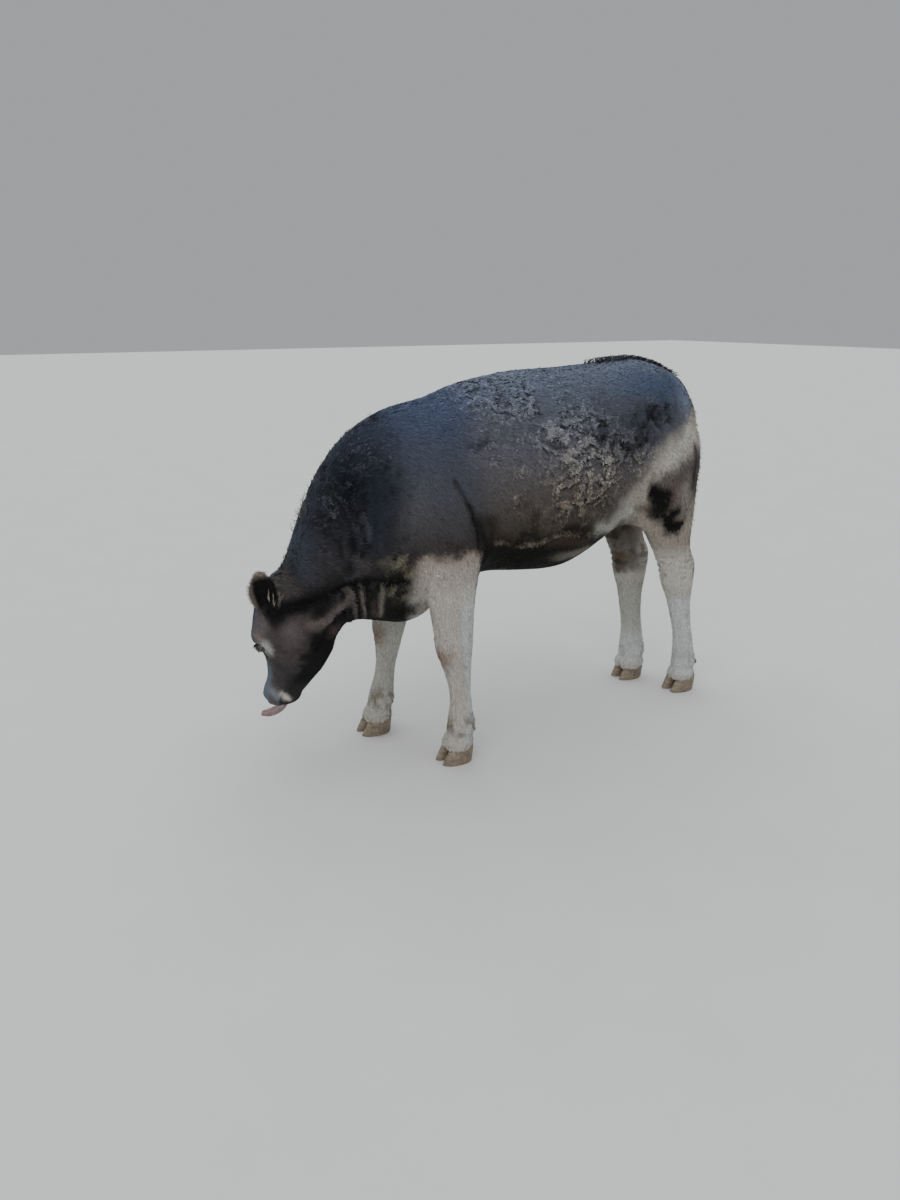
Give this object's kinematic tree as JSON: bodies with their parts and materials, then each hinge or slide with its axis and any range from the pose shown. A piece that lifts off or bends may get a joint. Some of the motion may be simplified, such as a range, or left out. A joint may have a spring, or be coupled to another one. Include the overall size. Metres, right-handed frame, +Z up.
{
  "type": "charolais heifer calf, grazing",
  "caption": "Life-size still model of a grey-brown and cream heifer calf grazing, head down and turned to its right, tongue out.",
  "frame": {"origin": "middle of the bounding box, on the floor under the hooves", "axes": "+X towards the tail, -Y towards the animal's left side, +Z up"},
  "size_m": [1.6859, 0.4733, 1.2012],
  "materials": {
    "head": "short grey-brown coat",
    "neck": "dark slate coat",
    "trunk": "slate and grey-brown coat",
    "foreleg_left": "cream coat",
    "foreleg_right": "cream coat",
    "hindleg_left": "cream coat",
    "hindleg_right": "cream coat",
    "tail": "grey-brown coat",
    "ear_left": "grey-brown coat, pale rim",
    "ear_right": "grey-brown coat, pale rim",
    "eye_left": "wet, nearly black",
    "eye_right": "wet, nearly black",
    "tongue": "wet, pink",
    "claw_fore_left_outer": "horn",
    "claw_fore_left_inner": "horn",
    "claw_fore_right_outer": "horn",
    "claw_fore_right_inner": "horn",
    "claw_hind_left_outer": "horn",
    "claw_hind_left_inner": "horn",
    "claw_hind_right_outer": "horn",
    "claw_hind_right_inner": "horn",
    "dewclaw_fore_left_outer": "horn",
    "dewclaw_fore_left_inner": "horn",
    "dewclaw_fore_right_outer": "horn",
    "dewclaw_fore_right_inner": "horn",
    "dewclaw_hind_left_outer": "horn",
    "dewclaw_hind_left_inner": "horn",
    "dewclaw_hind_right_outer": "horn",
    "dewclaw_hind_right_inner": "horn"
  },
  "bodies": {
    "root": {"head": "head", "neck": "neck", "trunk": "trunk", "foreleg_left": "foreleg_left", "foreleg_right": "foreleg_right", "hindleg_left": "hindleg_left", "hindleg_right": "hindleg_right", "tail": "tail", "ear_left": "ear_left", "ear_right": "ear_right", "eye_left": "eye_left", "eye_right": "eye_right", "tongue": "tongue", "claw_fore_left_outer": "claw_fore_left_outer", "claw_fore_left_inner": "claw_fore_left_inner", "claw_fore_right_outer": "claw_fore_right_outer", "claw_fore_right_inner": "claw_fore_right_inner", "claw_hind_left_outer": "claw_hind_left_outer", "claw_hind_left_inner": "claw_hind_left_inner", "claw_hind_right_outer": "claw_hind_right_outer", "claw_hind_right_inner": "claw_hind_right_inner", "dewclaw_fore_left_outer": "dewclaw_fore_left_outer", "dewclaw_fore_left_inner": "dewclaw_fore_left_inner", "dewclaw_fore_right_outer": "dewclaw_fore_right_outer", "dewclaw_fore_right_inner": "dewclaw_fore_right_inner", "dewclaw_hind_left_outer": "dewclaw_hind_left_outer", "dewclaw_hind_left_inner": "dewclaw_hind_left_inner", "dewclaw_hind_right_outer": "dewclaw_hind_right_outer", "dewclaw_hind_right_inner": "dewclaw_hind_right_inner"}
  },
  "joints": []
}
